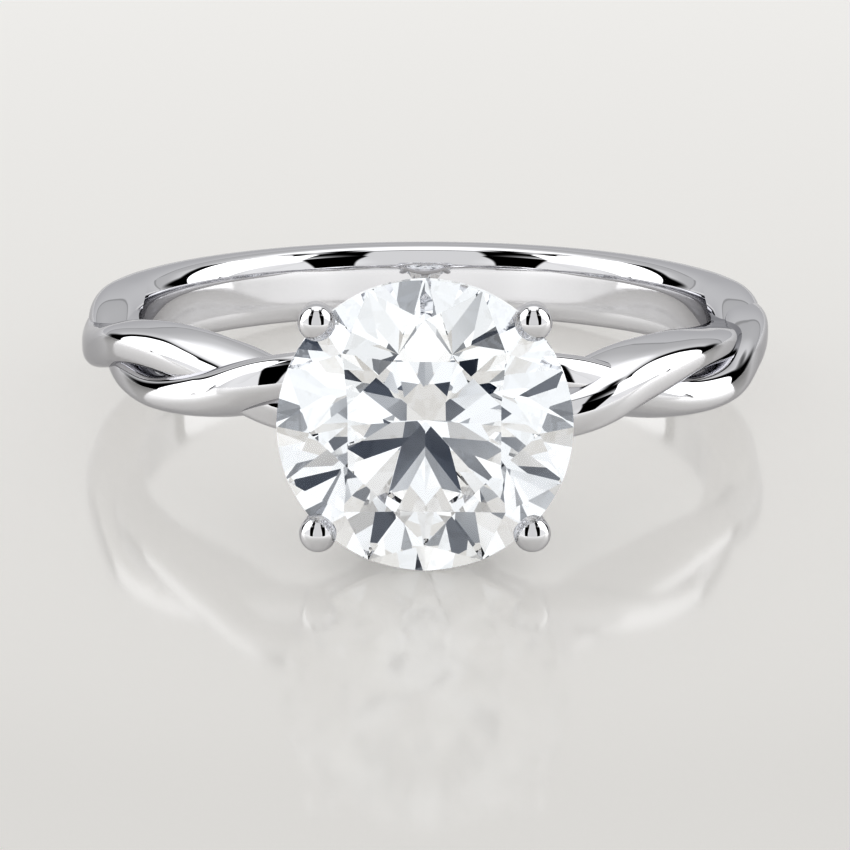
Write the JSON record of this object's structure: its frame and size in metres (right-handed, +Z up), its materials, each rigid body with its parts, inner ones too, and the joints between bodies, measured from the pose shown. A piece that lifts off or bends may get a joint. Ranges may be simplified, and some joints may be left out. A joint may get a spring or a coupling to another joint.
{
  "type": "vine solitaire ring",
  "caption": "Finger ring with a round brilliant held by ball-tipped prongs, on a polished band whose shoulders are two crossing strands.",
  "frame": {"origin": "on the floor, under the middle of the ring's bounding box as it lies on its side", "axes": "+Z up, the stone's table faces -Y, +X to the right as seen from the stone's side"},
  "size_m": [0.0208, 0.0254, 0.0079],
  "materials": {
    "polished_white_gold": "mirror polished, rhodium plated",
    "colourless_cut_stone": "cut and polished facets"
  },
  "bodies": {
    "root": {"ring_mount": "polished_white_gold", "centre_stone": "colourless_cut_stone"}
  },
  "joints": []
}
